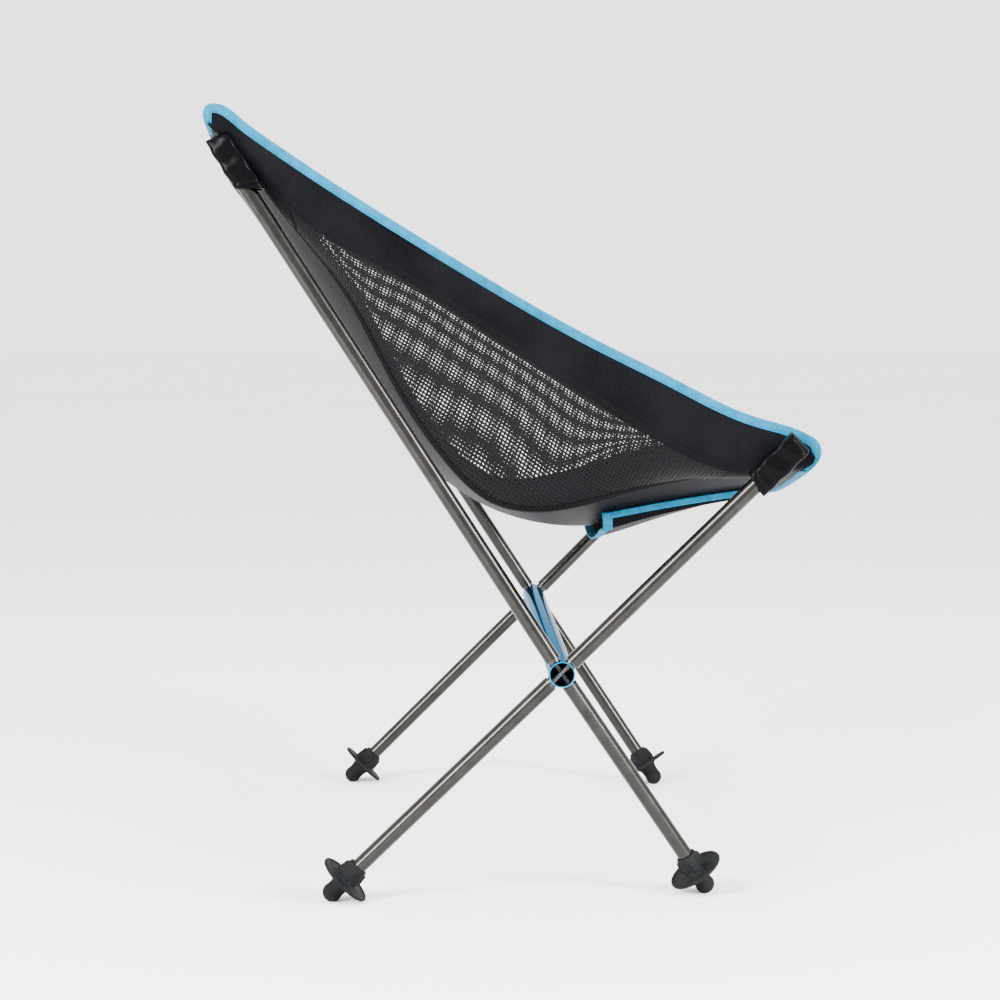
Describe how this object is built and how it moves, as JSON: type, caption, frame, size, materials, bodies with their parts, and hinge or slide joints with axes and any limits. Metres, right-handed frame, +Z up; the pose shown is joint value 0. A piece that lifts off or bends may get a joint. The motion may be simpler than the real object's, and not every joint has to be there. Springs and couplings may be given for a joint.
{
  "type": "ultralight backpacking chair",
  "caption": "Collapsible low camp chair: a cloth and mesh sling on shock-corded aluminium poles that cross at a blue tube.",
  "frame": {"origin": "on the floor under the middle of the chair's outline", "axes": "+Z up, -Y towards the front of the chair, +X to the sitter's left"},
  "size_m": [0.6008, 0.5037, 0.651],
  "materials": {
    "anodised_tube": "polished blue anodised",
    "spigot_aluminium": "satin",
    "pole_aluminium": "satin grey anodised",
    "shock_cord": "braided",
    "foot_rubber": "matt moulded",
    "tip_plastic": "matt",
    "binding_tape": "ribbed tape",
    "mesh_cloth": "open mesh",
    "panel_cloth": "plain weave",
    "pocket_cloth": "heavy weave"
  },
  "bodies": {
    "hub": {"cross_tube_ferrule": "spigot_aluminium", "cross_tube_left": "anodised_tube", "front_leg_spigot_left": "spigot_aluminium", "rear_leg_spigot_left": "spigot_aluminium", "front_upright_spigot_left": "spigot_aluminium", "rear_upright_spigot_left": "spigot_aluminium", "shock_cord_outer_left": "shock_cord", "shock_cord_inner_left": "shock_cord", "cross_tube_right": "anodised_tube", "front_leg_spigot_right": "spigot_aluminium", "rear_leg_spigot_right": "spigot_aluminium", "front_upright_spigot_right": "spigot_aluminium", "rear_upright_spigot_right": "spigot_aluminium", "shock_cord_outer_right": "shock_cord", "shock_cord_inner_right": "shock_cord"},
    "front_leg_left": {"front_leg_left": "pole_aluminium", "front_foot_disc_left": "foot_rubber", "front_foot_ball_left": "foot_rubber"},
    "rear_leg_left": {"rear_leg_left": "pole_aluminium", "rear_foot_disc_left": "foot_rubber", "rear_foot_ball_left": "foot_rubber"},
    "front_leg_right": {"front_leg_right": "pole_aluminium", "front_foot_disc_right": "foot_rubber", "front_foot_ball_right": "foot_rubber"},
    "rear_leg_right": {"rear_leg_right": "pole_aluminium", "rear_foot_disc_right": "foot_rubber", "rear_foot_ball_right": "foot_rubber"},
    "sling": {"middle_panel": "panel_cloth", "top_hem_binding": "binding_tape", "front_hem_binding": "binding_tape", "storage_pouch": "mesh_cloth", "pouch_rear_binding": "binding_tape", "mesh_panel_left": "mesh_cloth", "side_strip_left": "panel_cloth", "rear_corner_patch_left": "panel_cloth", "front_corner_patch_left": "panel_cloth", "side_binding_left": "binding_tape", "front_pole_pocket_left": "pocket_cloth", "rear_pole_pocket_left": "pocket_cloth", "pouch_side_binding_left": "binding_tape", "mesh_panel_right": "mesh_cloth", "side_strip_right": "panel_cloth", "rear_corner_patch_right": "panel_cloth", "front_corner_patch_right": "panel_cloth", "side_binding_right": "binding_tape", "front_pole_pocket_right": "pocket_cloth", "rear_pole_pocket_right": "pocket_cloth", "pouch_side_binding_right": "binding_tape"},
    "front_upright_left": {"front_upright_left": "pole_aluminium", "front_tip_plug_left": "tip_plastic"},
    "rear_upright_left": {"rear_upright_lower_left": "pole_aluminium", "rear_upright_ferrule_left": "spigot_aluminium"},
    "rear_upright_top_left": {"rear_upright_upper_left": "pole_aluminium", "rear_tip_plug_left": "tip_plastic"},
    "front_upright_right": {"front_upright_right": "pole_aluminium", "front_tip_plug_right": "tip_plastic"},
    "rear_upright_right": {"rear_upright_lower_right": "pole_aluminium", "rear_upright_ferrule_right": "spigot_aluminium"},
    "rear_upright_top_right": {"rear_upright_upper_right": "pole_aluminium", "rear_tip_plug_right": "tip_plastic"}
  },
  "joints": [
    {"name": "front_leg_draw_left", "type": "slide", "parent": "hub", "child": "front_leg_left", "axis": [-0.1687, -0.5462, -0.8205], "range_m": [0, 0.035], "stiffness_N_per_m": 150, "springref_m": -0.1},
    {"name": "rear_leg_draw_left", "type": "slide", "parent": "hub", "child": "rear_leg_left", "axis": [-0.0653, 0.7132, -0.6979], "range_m": [0, 0.035], "stiffness_N_per_m": 150, "springref_m": -0.1},
    {"name": "front_leg_draw_right", "type": "slide", "parent": "hub", "child": "front_leg_right", "axis": [0.1687, -0.5462, -0.8205], "range_m": [0, 0.035], "stiffness_N_per_m": 150, "springref_m": -0.1},
    {"name": "rear_leg_draw_right", "type": "slide", "parent": "hub", "child": "rear_leg_right", "axis": [0.0653, 0.7132, -0.6979], "range_m": [0, 0.035], "stiffness_N_per_m": 150, "springref_m": -0.1},
    {"name": "sling_lift", "type": "slide", "parent": "hub", "child": "sling", "axis": [0, 0, 1], "range_m": [0, 0.35], "deforming": ["front_pole_pocket_left", "front_pole_pocket_right", "rear_pole_pocket_left", "rear_pole_pocket_right"]},
    {"name": "front_upright_draw_left", "type": "slide", "parent": "hub", "child": "front_upright_left", "axis": [0.0751, -0.7076, 0.7026], "range_m": [0, 0.036]},
    {"name": "rear_upright_draw_left", "type": "slide", "parent": "hub", "child": "rear_upright_left", "axis": [-0.065, 0.5431, 0.8372], "range_m": [0, 0.036]},
    {"name": "rear_upright_top_draw_left", "type": "slide", "parent": "rear_upright_left", "child": "rear_upright_top_left", "axis": [-0.065, 0.5431, 0.8372], "range_m": [0, 0.029]},
    {"name": "front_upright_draw_right", "type": "slide", "parent": "hub", "child": "front_upright_right", "axis": [-0.0751, -0.7076, 0.7026], "range_m": [0, 0.036]},
    {"name": "rear_upright_draw_right", "type": "slide", "parent": "hub", "child": "rear_upright_right", "axis": [0.065, 0.5431, 0.8372], "range_m": [0, 0.036]},
    {"name": "rear_upright_top_draw_right", "type": "slide", "parent": "rear_upright_right", "child": "rear_upright_top_right", "axis": [0.065, 0.5431, 0.8372], "range_m": [0, 0.029]}
  ],
  "couplings": [
    {"joint": "front_upright_draw_left", "follows": "sling_lift", "ratio": 0.1},
    {"joint": "rear_upright_draw_left", "follows": "sling_lift", "ratio": 0.1},
    {"joint": "rear_upright_top_draw_left", "follows": "sling_lift", "ratio": 0.08},
    {"joint": "front_upright_draw_right", "follows": "sling_lift", "ratio": 0.1},
    {"joint": "rear_upright_draw_right", "follows": "sling_lift", "ratio": 0.1},
    {"joint": "rear_upright_top_draw_right", "follows": "sling_lift", "ratio": 0.08}
  ]
}
